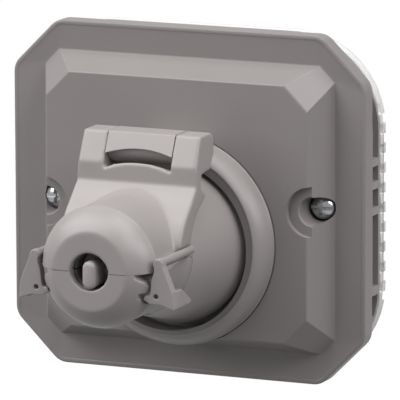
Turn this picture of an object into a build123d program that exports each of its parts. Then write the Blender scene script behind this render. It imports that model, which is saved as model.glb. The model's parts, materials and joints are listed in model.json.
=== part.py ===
from build123d import *
import math
import os

# Weatherproof flush network socket with a hinged cable cover
#
# The frame is +Z up and +X right. The wall is the plane Y = 0 and the room is on its -Y side.
# A distance "out" is measured from the wall towards the room, so a point lies at Y = -out.
# Every size is in millimetres.

# Front plate: a cut-corner flange with a raised panel
PLATE_W = 79.3
PLATE_H = 73.1
PLATE_CUT = 9.9
PLATE_CORNER_R = 4.0
PLATE_BACK = 6.8
PLATE_WALL = 2.0
FLANGE_OUT = 10.0
RIM_RISE = 0.6
RIM_W = 0.9
PANEL_W = 58.6
PANEL_H = 53.9
PANEL_CUT = 5.2
PANEL_OUT = 17.1
BEVEL_RUN = 3.34
BEVEL_CUT = 3.3

# Fixing screws into the wall box
SCREW_SPACING = 60.0
SCREW_STAGGER = 0.9
SCREW_R = 1.6
SCREW_SHANK_R = 1.85
SCREW_HEAD_R = 2.6
SCREW_HEAD_H = 1.9
SCREW_SEAT_OUT = 8.8
SCREW_REACH = 12.0
SCREW_SEAL_T = 0.6
SCREW_SLOT_W = 0.75
POCKET_R = 5.3
POCKET_DEPTH = 1.34
WELL_CLEAR = 0.3
SCREW_HOLE_CLEAR = 0.25
SCREW_BOSS_WALL = 1.5

# Support frame behind the plate
FRAME_IN_SIDE = 0.0
FRAME_IN_END = 0.6
FRAME_R = 19.4
FRAME_BACK = 2.7
FRAME_EDGE = 0.8
FRAME_WALL = 1.7
FRAME_SPIGOT = 1.4
SPIGOT_GAP = 0.25
FRAME_HOLE_R = 20.6
# Windows as shares of the frame's height and width
SIDE_WINDOWS = [(0.1516, 0.3477), (0.0848, 0.1293), (0.0097, 0.0626), (-0.2211, -0.0125), (-0.3143, -0.2476)]
END_WINDOWS = [(-0.3026, -0.1135), (-0.0908, -0.0189), (0.0189, 0.0908), (0.1135, 0.3026)]

# Wall seal with two rows of castellations
SEAL_PROUD = 0.3
SEAL_BAND = 3.2
TOOTH_PITCH = 4.15
TOOTH_W = 1.95
TOOTH_DEPTH = 1.0
SIDE_TEETH = 10

# Socket ring, its face and the hinge knuckle
RING_Z = -6.8
RING_BASE_R = 22.2
RING_FRONT_R = 20.4
RING_MOUTH_R = 18.8
RING_OUT = 22.0
RING_FLANGE_R = 25.0
RING_FLANGE_OUT = 6.3
RING_FLANGE_T = 1.9
RING_HOLE_CLEAR = 0.25
RING_HOLE_WALL = 1.9
FACE_OUT = 16.0
FACE_T = 2.6
RING_TUBE_WALL = 2.0
RING_SEAL_T = 0.9

# Cover rim, bell and nose
COVER_RIM_R = 17.2
COVER_BACK = 18.05
COVER_RIM_OUT = 20.4
BELL_R = 15.9
BELL_OUT = 22.4
NOSE_Z = -5.5
NOSE_ROOT_R = 12.95
NOSE_ROOT_OUT = 38.0
NOSE_R = 12.5
NOSE_STRAIGHT_OUT = 55.2
NOSE_OUT = 60.6
NOSE_FACE_R = 8.07
NOSE_BULGE = 0.75
COVER_WALL = 2.1
NOSE_BORE_R = 10.4
GLAND_R = 8.2
GLAND_IN = 50.2
FRONT_WALL = 2.2
CABLE_HOLE_R = 4.25
CABLE_HOLE_SET = 0.42
SPLIT_Z = -5.6
SPLIT_GAP = 0.2
BODY_GAP = 0.3

# Hinge under the nose on which its lower half drops
SHELL_HINGE_SET = 1.4
SHELL_HINGE_OUT = NOSE_ROOT_OUT - SHELL_HINGE_SET
SHELL_HINGE_Z = -17.0
SHELL_BARREL_R = 1.4
SHELL_BARREL_HALF = 2.6
SHELL_PIN_R = 0.6
SHELL_PIN_HALF = 4.2
SHELL_GAP = 0.2
SHELL_DROP = 27

# Rubber pieces
COVER_SEAL_R = 16.6
COVER_SEAL_W = 1.9
COVER_SEAL_SUNK = 0.8
COVER_SEAL_GAP = 0.25
GLAND_GAP = 0.1

# Hinge at the top of the cover
HINGE_OUT = 31.6
HINGE_Z = 15.0
HINGE_HALF_W = 13.0
HINGE_TOP_Z = 18.4
HINGE_TOP_BACK = 28.3
HINGE_TOP_FRONT = 33.9
HINGE_KINK_OUT = 36.8
HINGE_KINK_Z = 12.3
KNUCKLE_HALF_W = 7.4
KNUCKLE_GAP = 0.12
KNUCKLE_LIP_Z = 15.3
KNUCKLE_LIP_SAG = 1.2
KNUCKLE_CORE_R = 3.1
SWEEP_R = 5.1
CREST_Z = 12.6
CREST_SAG = 1.5
PIN_R = 1.2
PIN_RUN = 0.05
PIN_HALF_L = 11.4

# Skirt from the hinge down over the nose
SKIRT_HALF_W = 13.5
SKIRT_FRONT = [(36.9, 8.4), (38.1, 7.3), (40.3, 5.1), (42.6, 3.0), (44.4, 0.6), (45.6, -1.6), (46.0, -3.4)]
SKIRT_REAR = [(40.2, -3.4), (39.4, -1.3), (38.2, 1.2), (36.3, 3.4), (33.9, 4.7), (31.8, 6.2)]

# Swing clips that hold the two halves of the nose together
BAR_X = 13.6
BAR_Z = -3.6
BAR_R = 0.85
BAR_BACK = 40.4
BAR_RUN = 0.07
CLIP_OUT = 57.3
CLIP_T = 2.0
CLIP_HOOK_T = 5.0
CLIP_HEAD_R = 1.05
CLIP_EYE_R = 0.5
CLIP_EYE = (13.2, -10.2)
CLIP_EDGE = [(14.6, -3.7), (16.8, -9.2), (17.0, -12.75), (14.2, -11.8), (11.75, -11.8)]
CLIP_TOE = [(10.4, -10.9), (10.75, -10.2), (11.75, -10.0)]
CLIP_INNER = [(12.0, -9.2), (12.25, -6.8), (12.75, -5.4), (12.8, -4.3)]
TAB_LEN = 9.0
TAB_T = 1.2
TAB_TOP_Z = -9.15
POCKET_EDGE = [(9.3, -5.0), (9.6, -6.4), (10.8, -7.3), (11.5, -8.3), (11.5, -9.2), (11.1, -9.75),
               (9.7, -9.75), (9.6, -10.6), (10.1, -11.9), (11.3, -12.6)]
POCKET_BACK = 51.6
CLAW_FRONT = 55.0
CLAW_BACK = 46.9
CLAW_X = 14.15
CLAW_TOP_Z = -3.3
REAR_CLAW = (41.2, 43.4)

# Blanking plug in the cable hole
PLUG_R = 3.62
PLUG_FACE_OUT = 55.6
PLUG_BACK = 49.0
PLUG_GAP = 0.08
GRIP_W = 2.9
GRIP_H = 6.0
GRIP_OUT = 61.0
GRIP_Z = -6.4

# Network jack and what is wired to it
JACK_Z = -6.0
JACK_W = 14.0
JACK_H = 15.4
JACK_FRONT = 15.4
JACK_BACK = -7.0
MOUTH_W = 11.8
MOUTH_H = 6.8
MOUTH_LIFT = 1.4
MOUTH_DEPTH = 12.6
LATCH_W = 6.2
LATCH_H = 1.6
KEY_W = 3.4
KEY_H = 1.3
SHIELD_T = 0.35
SHIELD_FRONT = 13.2
SHIELD_BACK = -5.5
PORT_CLEAR = 0.3
CONTACTS = 8
CONTACT_PITCH = 1.02
CONTACT_T = 0.4
CONTACT_BEND = 2.2
CONTACT_FOOT = 1.4
CONTACT_TIP = 2.3
CONTACT_DROP = 3.2
CARRIER_W = 27.0
CARRIER_H = 24.0
CARRIER_BACK = 4.0
CARRIER_SCREW_X = 10.4
CARRIER_SCREW_R = 1.0
CARRIER_SCREW_HEAD_R = 1.9
CARRIER_SCREW_HEAD_H = 1.3
ORGANISER_BACK = -14.0
ORGANISER_WALL = 1.5
CABLE_ENTRY_R = 3.2
IDC_PITCH = 2.5
IDC_ROW = 7.4
IDC_L = 4.4
IDC_W = 1.8
IDC_T = 0.4

# Worked out from the sizes above
FRAME_W = PLATE_W - 2 * FRAME_IN_SIDE
FRAME_H = PLATE_H - 2 * FRAME_IN_END
SEAL_W = FRAME_W + 2 * SEAL_PROUD
SEAL_H = FRAME_H
FLANGE_RIM_OUT = FLANGE_OUT + RIM_RISE
RING_BACK = RING_FLANGE_OUT - RING_FLANGE_T
RING_HOLE_R = RING_BASE_R + RING_HOLE_CLEAR
COLLAR_OUT = RING_FLANGE_OUT + RING_SEAL_T
FRONT_SLOPE = (HINGE_KINK_OUT - HINGE_TOP_FRONT) / (HINGE_TOP_Z - HINGE_KINK_Z)
SCREW_POINTS = [(-SCREW_SPACING / 2, -SCREW_STAGGER), (SCREW_SPACING / 2, SCREW_STAGGER)]
SIDE = Plane(origin=(0, 0, 0), x_dir=(0, -1, 0), z_dir=(-1, 0, 0))


def layer(out):
    return Plane.XZ.offset(out)


def prism(sketch, low, high):
    return extrude(layer(low) * sketch, high - low)


def disc(x, z, r, low, high):
    return prism(Pos(x, z) * Circle(r), low, high)


def block(x_low, x_high, low, high, z_low, z_high):
    face = Pos((x_low + x_high) / 2, (z_low + z_high) / 2) * Rectangle(x_high - x_low, z_high - z_low)
    return prism(face, low, high)


def side_slab(points, x_low, x_high):
    face = make_face(Polyline(*points, close=True))
    return extrude(SIDE.offset(-x_high) * face, x_high - x_low)


def front_slab(points, low, high):
    return prism(make_face(Polyline(*points, close=True)), low, high)


def turned(points, centre_z):
    face = make_face(Polyline(*[(r, -out, centre_z) for r, out in points], close=True))
    return revolve(face, Axis((0, 0, centre_z), (0, 1, 0)), 360)


def octagon(width, height, cut):
    w = width / 2
    h = height / 2
    right = [(w, -h + cut), (w, h - cut), (w - cut, h)]
    left = [(-w + cut, h), (-w, h - cut), (-w, -h + cut)]
    return make_face(Polyline(*right, *left, (-w + cut, -h), (w - cut, -h), close=True))


def plate_outline(inset):
    sharp = octagon(PLATE_W - 2 * inset, PLATE_H - 2 * inset, PLATE_CUT - inset * 0.586)
    return fillet(sharp.vertices(), PLATE_CORNER_R)


def bevel_block(inset, low, high):
    base = octagon(PANEL_W + 2 * BEVEL_RUN - 2 * inset, PANEL_H + 2 * BEVEL_RUN - 2 * inset, BEVEL_CUT)
    top = octagon(PANEL_W - 2 * inset, PANEL_H - 2 * inset, PANEL_CUT)
    return loft([layer(low) * base, layer(high) * top], ruled=True)


# Front plate: flange, dished rim, raised panel, screw wells and ring hole
def front_plate():
    slab = prism(plate_outline(0), PLATE_BACK, FLANGE_RIM_OUT)
    dish_top = octagon(PLATE_W - 2 * RIM_W, PLATE_H - 2 * RIM_W, PLATE_CUT - 0.586 * RIM_W)
    dish_base = octagon(PANEL_W + 2 * BEVEL_RUN, PANEL_H + 2 * BEVEL_RUN, BEVEL_CUT)
    dish = loft([layer(FLANGE_OUT) * dish_base, layer(FLANGE_RIM_OUT) * dish_top], ruled=True)
    body = slab - dish + bevel_block(0, FLANGE_OUT, PANEL_OUT)
    inner_top = FLANGE_OUT - PLATE_WALL + 0.4
    body -= prism(plate_outline(PLATE_WALL), PLATE_BACK, inner_top)
    body -= bevel_block(PLATE_WALL, inner_top - 0.5, PANEL_OUT - PLATE_WALL)
    well_r = SCREW_HEAD_R + WELL_CLEAR
    solid_plate = slab - dish + bevel_block(0, FLANGE_OUT, PANEL_OUT)
    body += disc(0, RING_Z, RING_HOLE_R + RING_HOLE_WALL, COLLAR_OUT, PANEL_OUT) & solid_plate
    for x, z in SCREW_POINTS:
        body += disc(x, z, well_r + SCREW_BOSS_WALL, PLATE_BACK, PANEL_OUT) & solid_plate
    for x, z in SCREW_POINTS:
        body -= disc(x, z, POCKET_R, PANEL_OUT - POCKET_DEPTH, PANEL_OUT + 1)
        body -= disc(x, z, well_r, SCREW_SEAT_OUT, PANEL_OUT + 1)
        body -= disc(x, z, SCREW_SHANK_R + SCREW_HOLE_CLEAR, 0, PANEL_OUT)
    body -= disc(0, RING_Z, RING_HOLE_R, 0, PANEL_OUT + 1)
    return body


def frame_outline(inset):
    radius = FRAME_R - inset
    return RectangleRounded(FRAME_W - 2 * inset, FRAME_H - 2 * inset, radius)


# Support frame: windowed side wall, floor, screw bosses and the seat under the ring
def support_frame():
    floor_out = FRAME_BACK + FRAME_EDGE
    body = prism(frame_outline(0), FRAME_BACK, PLATE_BACK)
    body -= prism(frame_outline(FRAME_WALL), floor_out, PLATE_BACK)
    plate_cavity = PLATE_WALL + SPIGOT_GAP
    spigot = prism(frame_outline(plate_cavity), floor_out, PLATE_BACK + FRAME_SPIGOT)
    spigot &= prism(plate_outline(plate_cavity), 0, PANEL_OUT)
    spigot -= prism(frame_outline(plate_cavity + 1.2), 0, PANEL_OUT)
    spigot -= disc(0, RING_Z, RING_FLANGE_R + SPIGOT_GAP, 0, PANEL_OUT)
    body += disc(0, RING_Z, RING_FLANGE_R, FRAME_BACK, RING_BACK) + spigot
    for x, z in SCREW_POINTS:
        body += disc(x, z, SCREW_SHANK_R + SCREW_HOLE_CLEAR + 2.0, FRAME_BACK, PLATE_BACK)
    for x, z in SCREW_POINTS:
        body -= disc(x, z, SCREW_SHANK_R + SCREW_HOLE_CLEAR, 0, PANEL_OUT)
    body -= disc(0, RING_Z, FRAME_HOLE_R, 0, PANEL_OUT)
    for low, high in SIDE_WINDOWS:
        for x in (-FRAME_W / 2, FRAME_W / 2):
            body -= block(x - FRAME_WALL - 0.3, x + FRAME_WALL + 0.3, floor_out, PLATE_BACK - 0.2,
                          low * FRAME_H, high * FRAME_H)
    for low, high in END_WINDOWS:
        for z in (-FRAME_H / 2, FRAME_H / 2):
            body -= block(low * FRAME_W, high * FRAME_W, floor_out, PLATE_BACK - 0.2,
                          z - FRAME_WALL - 0.3, z + FRAME_WALL + 0.3)
    return body


# Wall seal: a flat band with two rows of teeth out of step on each side
def wall_seal():
    outer = RectangleRounded(SEAL_W, SEAL_H, FRAME_R)
    inner = RectangleRounded(SEAL_W - 2 * SEAL_BAND, SEAL_H - 2 * SEAL_BAND, FRAME_R - SEAL_BAND)
    body = prism(outer - inner, 0, FRAME_BACK)
    half = FRAME_BACK / 2
    for row, shift in ((0, 0.0), (half, TOOTH_PITCH / 2)):
        for i in range(SIDE_TEETH):
            z = (i - (SIDE_TEETH - 1) / 2) * TOOTH_PITCH + shift
            for x in (-SEAL_W / 2, SEAL_W / 2):
                body -= block(x - TOOTH_DEPTH, x + TOOTH_DEPTH, row, row + half, z - TOOTH_W / 2, z + TOOTH_W / 2)
    return body


# One fixing screw with a domed head, a slot and a cross recess
def fixing_screw(x, z):
    head_low = SCREW_SEAT_OUT + SCREW_SEAL_T
    head_high = head_low + SCREW_HEAD_H
    body = disc(x, z, SCREW_HEAD_R, head_low, head_high)
    body = chamfer(body.edges().group_by(Axis.Y)[0], SCREW_HEAD_H * 0.5)
    body -= block(x - SCREW_HEAD_R, x + SCREW_HEAD_R, head_high - 0.7, head_high + 1, z - SCREW_SLOT_W / 2,
                  z + SCREW_SLOT_W / 2)
    body -= block(x - SCREW_SLOT_W / 2, x + SCREW_SLOT_W / 2, head_high - 1.1, head_high + 1,
                  z - SCREW_HEAD_R * 0.62, z + SCREW_HEAD_R * 0.62)
    body += disc(x, z, SCREW_SHANK_R, 0, head_low) + disc(x, z, SCREW_R, -SCREW_REACH + 0.5, 0)
    tip = Cone(SCREW_R - 0.5, SCREW_R, 0.5, align=(Align.CENTER, Align.CENTER, Align.MIN))
    return body + layer(-SCREW_REACH) * Pos(x, z) * tip


def screw_seal(x, z):
    ring = Pos(x, z) * (Circle(SCREW_HEAD_R - 0.1) - Circle(SCREW_SHANK_R + 0.05))
    return prism(ring, SCREW_SEAT_OUT, SCREW_SEAT_OUT + SCREW_SEAL_T)


# The knuckle stands on the ring and the cover's arms turn on its two ends
def hinge_knuckle():
    root_z = RING_Z + RING_MOUTH_R + 0.3
    ring_top = RING_Z + RING_FRONT_R
    lip_z = KNUCKLE_LIP_Z - KNUCKLE_LIP_SAG - 0.6
    lip_out = HINGE_TOP_FRONT + (HINGE_TOP_Z - lip_z) * FRONT_SLOPE
    hood = [(18.5, root_z), (18.5, ring_top + 1.2), (HINGE_TOP_BACK - 1.0, HINGE_TOP_Z - 0.5),
            (HINGE_TOP_BACK, HINGE_TOP_Z), (HINGE_TOP_FRONT, HINGE_TOP_Z), (lip_out, lip_z),
            (HINGE_OUT, HINGE_Z - KNUCKLE_CORE_R), (28.0, root_z)]
    body = side_slab(hood, -KNUCKLE_HALF_W, KNUCKLE_HALF_W)
    sag = KNUCKLE_LIP_SAG
    arch_r = (KNUCKLE_HALF_W ** 2 + sag ** 2) / (2 * sag)
    arch = disc(0, KNUCKLE_LIP_Z - arch_r, arch_r, HINGE_OUT + KNUCKLE_CORE_R, HINGE_OUT + 8)
    return body - arch


# Socket ring: tapered collar, face with the jack port, flange behind the plate, and the knuckle
def socket_ring():
    collar = turned([(0, PANEL_OUT - 0.5), (RING_BASE_R, PANEL_OUT - 0.5), (RING_BASE_R, PANEL_OUT + 0.4),
                     (RING_FRONT_R + 0.5, RING_OUT - 0.7), (RING_FRONT_R - 0.2, RING_OUT), (0, RING_OUT)], RING_Z)
    body = collar + hinge_knuckle()
    body += disc(0, RING_Z, RING_BASE_R, RING_BACK, PANEL_OUT)
    body += disc(0, RING_Z, RING_FLANGE_R, RING_BACK, RING_FLANGE_OUT)
    body -= disc(0, RING_Z, RING_MOUTH_R, FACE_OUT, RING_OUT + 8) - \
        block(-KNUCKLE_HALF_W, KNUCKLE_HALF_W, RING_OUT, RING_OUT + 9, RING_Z + RING_MOUTH_R, 40)
    body -= disc(0, RING_Z, RING_BASE_R - RING_TUBE_WALL, RING_BACK, FACE_OUT - FACE_T)
    groove = Circle(COVER_SEAL_R) - Circle(COVER_SEAL_R - COVER_SEAL_W)
    body -= prism(Pos(0, RING_Z) * groove, FACE_OUT - COVER_SEAL_SUNK, FACE_OUT)
    half_w = JACK_W / 2 + PORT_CLEAR
    half_h = JACK_H / 2 + PORT_CLEAR
    body -= block(-half_w, half_w, 0, FACE_OUT + 1, JACK_Z - half_h, JACK_Z + half_h)
    for x in (-CARRIER_SCREW_X, CARRIER_SCREW_X):
        body -= disc(x, JACK_Z, CARRIER_SCREW_R, FACE_OUT - FACE_T, FACE_OUT - 0.8)
    body -= hinge_axle(PIN_R, PIN_HALF_L)
    return body


def hinge_axle(radius, half_length):
    face = Pos(HINGE_OUT, HINGE_Z) * Circle(radius)
    return extrude(SIDE.offset(-half_length) * face, 2 * half_length)


def ring_seal():
    band = Circle(RING_HOLE_R + RING_HOLE_WALL - 0.2) - Circle(RING_HOLE_R + 0.1)
    return prism(Pos(0, RING_Z) * band, RING_FLANGE_OUT, COLLAR_OUT)


def cover_seal():
    low = FACE_OUT - COVER_SEAL_SUNK
    top = COVER_BACK - COVER_SEAL_GAP
    inner = COVER_SEAL_R - COVER_SEAL_W
    bead = COVER_SEAL_W / 3
    return turned([(inner, low), (COVER_SEAL_R, low), (COVER_SEAL_R, top - bead), (COVER_SEAL_R - bead, top),
                   (inner + bead, top), (inner, top - bead)], RING_Z)


# Outside of the nose, a full turned form that the two halves share
def nose_form():
    path = Polyline((0, -(NOSE_ROOT_OUT - 2)), (NOSE_ROOT_R, -(NOSE_ROOT_OUT - 2)), (NOSE_ROOT_R, -NOSE_ROOT_OUT),
                    (NOSE_R, -(NOSE_ROOT_OUT + 4)), (NOSE_R, -NOSE_STRAIGHT_OUT))
    run = NOSE_R - NOSE_FACE_R
    rise = NOSE_OUT - NOSE_STRAIGHT_OUT
    length = math.hypot(run, rise)
    mid = (NOSE_R - run / 2 + NOSE_BULGE * rise / length, -(NOSE_STRAIGHT_OUT + rise / 2 + NOSE_BULGE * run / length))
    dome = ThreePointArc((NOSE_R, -NOSE_STRAIGHT_OUT), mid, (NOSE_FACE_R, -NOSE_OUT))
    cap = Polyline((NOSE_FACE_R, -NOSE_OUT), (0, -NOSE_OUT), (0, -(NOSE_ROOT_OUT - 2)))
    face = Pos(0, 0, NOSE_Z) * make_face([*path.edges(), *dome.edges(), *cap.edges()])
    return revolve(face, Axis((0, 0, NOSE_Z), (0, 1, 0)), 360)


def nose_bore():
    gland_front = NOSE_OUT - FRONT_WALL
    body = disc(0, NOSE_Z, NOSE_BORE_R, NOSE_ROOT_OUT - 2, GLAND_IN)
    body += disc(0, NOSE_Z, GLAND_R, GLAND_IN - 1, gland_front)
    hole = disc(0, SPLIT_Z - CABLE_HOLE_SET, CABLE_HOLE_R, gland_front - 1, NOSE_OUT + 1)
    hole &= disc(0, SPLIT_Z + CABLE_HOLE_SET, CABLE_HOLE_R, gland_front - 1, NOSE_OUT + 1)
    return body + hole


# Bell between the rim and the nose, its outside or its hollow
def bell(inset):
    sections = [(RING_Z, BELL_R, BELL_OUT), (NOSE_Z, NOSE_ROOT_R, NOSE_ROOT_OUT)]
    return loft([layer(out) * (Pos(0, z) * Circle(r - inset)) for z, r, out in sections], ruled=True)


# Arms, band and skirt: one side profile cut down to its width
def cover_hood():
    top_z = SKIRT_FRONT[0][1]
    arm = [(HINGE_TOP_BACK, HINGE_TOP_Z), (HINGE_TOP_FRONT, HINGE_TOP_Z), (HINGE_KINK_OUT, HINGE_KINK_Z),
           SKIRT_FRONT[0], (34.2, 8.2), (33.9, 10.6), (29.4, 10.9), (27.2, 13.8), (27.3, 17.6)]
    front = Spline(*SKIRT_FRONT)
    rear = Spline(*SKIRT_REAR)
    foot = Line(SKIRT_FRONT[-1], SKIRT_REAR[0])
    head = Polyline(SKIRT_REAR[-1], (34.2, 7.6), (34.2, top_z + 1), (HINGE_KINK_OUT, top_z + 1), SKIRT_FRONT[0])
    skirt = make_face([front.edge(), foot.edge(), rear.edge(), *head.edges()])
    wide = SKIRT_HALF_W + 1
    body = side_slab(arm, -wide, wide) + extrude(SIDE.offset(-wide) * skirt, 2 * wide)
    low_z = SKIRT_FRONT[-1][1]
    spread = [(HINGE_HALF_W, HINGE_TOP_Z), (SKIRT_HALF_W, top_z - 4), (SKIRT_HALF_W, low_z)]
    return body & front_slab(spread + [(-x, z) for x, z in reversed(spread)], 20, 60)


def knuckle_space():
    half = KNUCKLE_HALF_W + KNUCKLE_GAP
    sweep = extrude(SIDE.offset(-half) * (Pos(HINGE_OUT, HINGE_Z) * Circle(SWEEP_R)), 2 * half)
    sag = CREST_SAG
    crest_r = (KNUCKLE_HALF_W ** 2 + sag ** 2) / (2 * sag)
    above = block(-half, half, 24, 40, HINGE_KINK_Z - 2.5, HINGE_TOP_Z + 2)
    above -= disc(0, CREST_Z - crest_r, crest_r, HINGE_OUT, 41)
    behind = block(-half, half, 24, HINGE_OUT, RING_Z + RING_MOUTH_R - 1.5, HINGE_TOP_Z + 2)
    return sweep + above + behind


# Bearing claws under the bar of one clip
def bar_claws(side):
    x_in = NOSE_R - 0.4
    free_x = NOSE_R + 0.4
    long_claw = [(CLAW_FRONT, CLAW_TOP_Z), (CLAW_FRONT, -6.4), (CLAW_FRONT - 3.4, -6.6), (CLAW_FRONT - 4.2, -5.6),
                 (CLAW_BACK, -4.7), (CLAW_BACK, CLAW_TOP_Z)]
    body = side_slab(long_claw, x_in, CLAW_X)
    body -= block(0, free_x, 40, 60, -9, SPLIT_Z + 0.15)
    body += block(x_in, CLAW_X - 0.2, REAR_CLAW[0], REAR_CLAW[1], -4.9, CLAW_TOP_Z)
    return body if side > 0 else mirror(body, Plane.YZ)


def cover():
    rim = turned([(0, COVER_BACK), (COVER_RIM_R - 0.2, COVER_BACK), (COVER_RIM_R, COVER_BACK + 0.3),
                  (COVER_RIM_R, COVER_RIM_OUT - 0.5), (COVER_RIM_R - 0.35, COVER_RIM_OUT), (BELL_R, BELL_OUT),
                  (0, BELL_OUT)], RING_Z)
    body = rim + bell(0) + nose_form() + cover_hood()
    body -= bell(COVER_WALL) + nose_bore() + disc(0, RING_Z, BELL_R - COVER_WALL, COVER_BACK - 1, BELL_OUT)
    for side in (-1, 1):
        body += bar_claws(side)
    body -= block(-20, 20, NOSE_ROOT_OUT, NOSE_OUT + 1, -30, SPLIT_Z + SPLIT_GAP / 2) - \
        (bar_claws(-1) + bar_claws(1))
    for x in (-BAR_X, BAR_X):
        body -= disc(x, BAR_Z, BAR_R + BAR_RUN, BAR_BACK - BODY_GAP, NOSE_OUT)
    body -= knuckle_space() + shell_notch()
    body -= hinge_axle(PIN_R + PIN_RUN, PIN_HALF_L + BODY_GAP)
    body -= shell_axle(SHELL_PIN_R, SHELL_PIN_HALF)
    return body


def shell_axle(radius, half_length):
    face = Pos(SHELL_HINGE_OUT, SHELL_HINGE_Z) * Circle(radius)
    return extrude(SIDE.offset(-half_length) * face, 2 * half_length)


# Notch in the bottom of the bell for the barrel of the lower shell
def shell_notch():
    reach = SHELL_BARREL_R + SHELL_GAP
    half = SHELL_BARREL_HALF + SHELL_GAP
    gap = block(-half, half, SHELL_HINGE_OUT, NOSE_ROOT_OUT + 1, -30, SHELL_HINGE_Z + reach)
    return shell_axle(reach, half) + gap + block(-half, half, SHELL_HINGE_OUT - reach, NOSE_ROOT_OUT, -30, SHELL_HINGE_Z)


# Lower half of the nose, with its hinge barrel, two lugs and the pockets of the clips
def lower_shell():
    rear = NOSE_ROOT_OUT + SPLIT_GAP
    body = nose_form() - nose_bore()
    body &= block(-20, 20, rear, NOSE_OUT + 1, -30, SPLIT_Z - SPLIT_GAP / 2)
    drop = math.tan(math.radians(SHELL_DROP + 2))
    low_z = NOSE_Z - NOSE_ROOT_R - 0.5
    top_z = SHELL_HINGE_Z + 0.4
    body -= side_slab([(rear - 1, top_z), (rear, top_z), (rear + (top_z - low_z) * drop, low_z), (rear - 1, low_z)],
                      -20, 20)
    half = SHELL_BARREL_HALF
    body += shell_axle(SHELL_BARREL_R, half)
    body += block(-half, half, SHELL_HINGE_OUT, rear + 1.5, SHELL_HINGE_Z - 0.3, SHELL_HINGE_Z + SHELL_BARREL_R)
    body -= shell_axle(SHELL_PIN_R + PIN_RUN, half)
    pocket = front_slab([*POCKET_EDGE, (18, POCKET_EDGE[-1][1]), (18, POCKET_EDGE[0][1])], POCKET_BACK, 70)
    return body - pocket - mirror(pocket, Plane.YZ)


def gland(half):
    ring = Pos(0, NOSE_Z) * (Circle(GLAND_R - GLAND_GAP) - Circle(PLUG_R + PLUG_GAP))
    body = prism(ring, GLAND_IN + GLAND_GAP, NOSE_OUT - FRONT_WALL - GLAND_GAP)
    z_low = SPLIT_Z + SPLIT_GAP / 2 if half > 0 else -30
    z_high = 30 if half > 0 else SPLIT_Z - SPLIT_GAP / 2
    return body & block(-20, 20, GLAND_IN, NOSE_OUT, z_low, z_high)


# Swing clip on the right: hinge bar, front plate, hook and finger tab
def clip():
    front = make_face(Polyline(*CLIP_EDGE, *CLIP_TOE, *CLIP_INNER, close=True))
    head = Pos(BAR_X, BAR_Z) * Circle(CLIP_HEAD_R)
    body = prism(front + head, CLIP_OUT - CLIP_T, CLIP_OUT)
    hook = make_face(Polyline((12.6, -11.8), *CLIP_EDGE[-1:], *CLIP_TOE, (12.6, -9.6), close=True))
    body += prism(hook, CLIP_OUT - CLIP_HOOK_T, CLIP_OUT - CLIP_T)
    body += disc(BAR_X, BAR_Z, BAR_R, BAR_BACK, CLIP_OUT - CLIP_T)
    tip_x, tip_z = CLIP_EDGE[2]
    tab = [(CLIP_OUT - CLIP_T, TAB_TOP_Z), (CLIP_OUT - TAB_LEN / 2, TAB_TOP_Z), (CLIP_OUT - TAB_LEN, tip_z + 0.7),
           (CLIP_OUT - TAB_LEN, tip_z), (CLIP_OUT - CLIP_T, tip_z)]
    body += side_slab(tab, tip_x - TAB_T, tip_x)
    return body - disc(*CLIP_EYE, CLIP_EYE_R, CLIP_OUT - 2 * CLIP_T, CLIP_OUT + 1)


# Blanking plug: a stem in the gland, a set-back face and a finger grip
def blanking_plug():
    body = disc(0, NOSE_Z, PLUG_R, PLUG_BACK, PLUG_FACE_OUT)
    grip = Pos(0, GRIP_Z) * RectangleRounded(GRIP_W, GRIP_H, GRIP_W / 2 - 0.05)
    body += prism(grip, PLUG_FACE_OUT - 1, GRIP_OUT) & disc(0, NOSE_Z, PLUG_R, PLUG_BACK, GRIP_OUT)
    return body


# Jack: moulded housing with a keyed mouth
def jack_housing():
    body = block(-JACK_W / 2, JACK_W / 2, JACK_BACK, JACK_FRONT, JACK_Z - JACK_H / 2, JACK_Z + JACK_H / 2)
    mouth_low = JACK_Z - MOUTH_H / 2 + MOUTH_LIFT
    back = JACK_FRONT - MOUTH_DEPTH
    body -= block(-MOUTH_W / 2, MOUTH_W / 2, back, JACK_FRONT, mouth_low, mouth_low + MOUTH_H)
    body -= block(-LATCH_W / 2, LATCH_W / 2, back + 2, JACK_FRONT, mouth_low - LATCH_H, mouth_low)
    key_low = mouth_low - LATCH_H - KEY_H
    return body - block(-KEY_W / 2, KEY_W / 2, back + 2, JACK_FRONT, key_low, mouth_low)


def jack_contacts():
    roof = JACK_Z - MOUTH_H / 2 + MOUTH_LIFT + MOUTH_H
    back = JACK_FRONT - MOUTH_DEPTH
    t = CONTACT_T
    bend = JACK_FRONT - CONTACT_BEND
    tip = back + CONTACT_TIP
    shape = [(bend - CONTACT_FOOT, roof), (bend, roof), (bend, roof - t), (tip + t * 0.7, roof - CONTACT_DROP),
             (tip, roof - CONTACT_DROP + t * 0.7), (bend - CONTACT_FOOT, roof - t * 0.7)]
    wires = []
    for i in range(CONTACTS):
        x = (i - (CONTACTS - 1) / 2) * CONTACT_PITCH
        wires.append(side_slab(shape, x - t / 2, x + t / 2))
    return Compound(children=wires)


def jack_shield():
    outer = Pos(0, JACK_Z) * Rectangle(JACK_W + 2 * SHIELD_T, JACK_H + 2 * SHIELD_T)
    inner = Pos(0, JACK_Z) * Rectangle(JACK_W, JACK_H)
    return prism(outer - inner, SHIELD_BACK, SHIELD_FRONT)


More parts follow.
